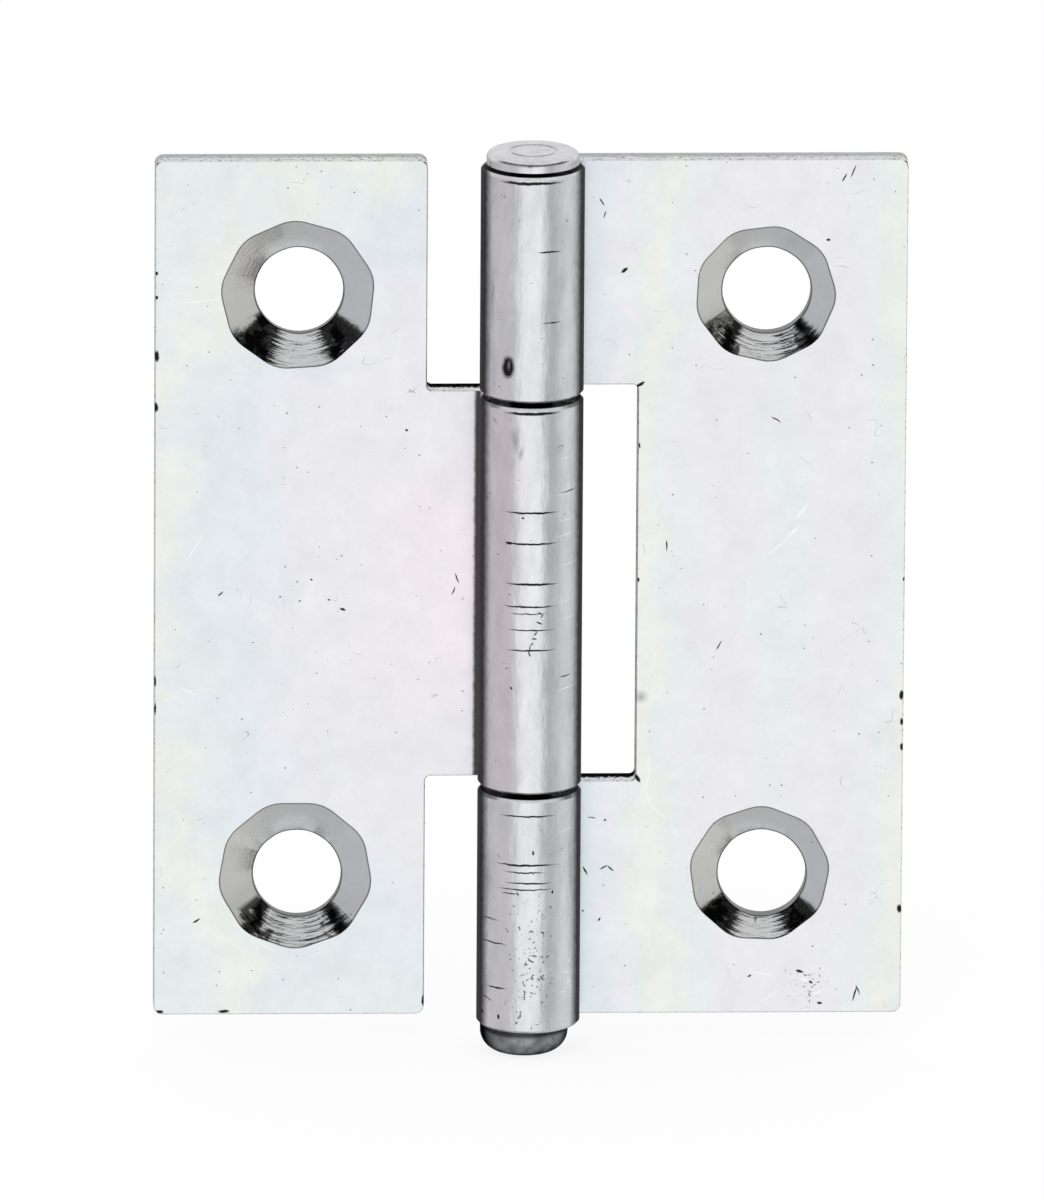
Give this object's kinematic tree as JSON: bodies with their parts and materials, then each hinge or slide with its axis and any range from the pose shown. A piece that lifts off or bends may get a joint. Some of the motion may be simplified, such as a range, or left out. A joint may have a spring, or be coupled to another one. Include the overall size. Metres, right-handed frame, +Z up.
{
  "type": "narrow butt hinge",
  "caption": "Narrow butt hinge of zinc-plated sheet steel, with rolled knuckles on a riveted pin and countersunk screw holes, for hanging a small door or lid.",
  "frame": {"origin": "on the pin's axis, at mid-length of the leaves", "axes": "+Z up along the pin towards its flat head, +X from the pin towards the right leaf, -Y out of the face with the barrel and the countersinks, +Y out of the flat backs"},
  "size_m": [0.034, 0.0046, 0.0421],
  "materials": {
    "leaf_plate": "bright zinc plate with a pale blue passivated tint, lightly scratched",
    "pin_plate": "bright zinc plate, darker on the riveted head"
  },
  "bodies": {
    "right_leaf": {"right_leaf": "leaf_plate", "hinge_pin": "pin_plate"},
    "left_leaf": {"left_leaf": "leaf_plate"}
  },
  "joints": [
    {"name": "leaf_hinge", "type": "hinge", "parent": "right_leaf", "child": "left_leaf", "pos_m": [0, 0, 0], "axis": [0, 0, 1], "range_deg": [-125, 180]}
  ]
}
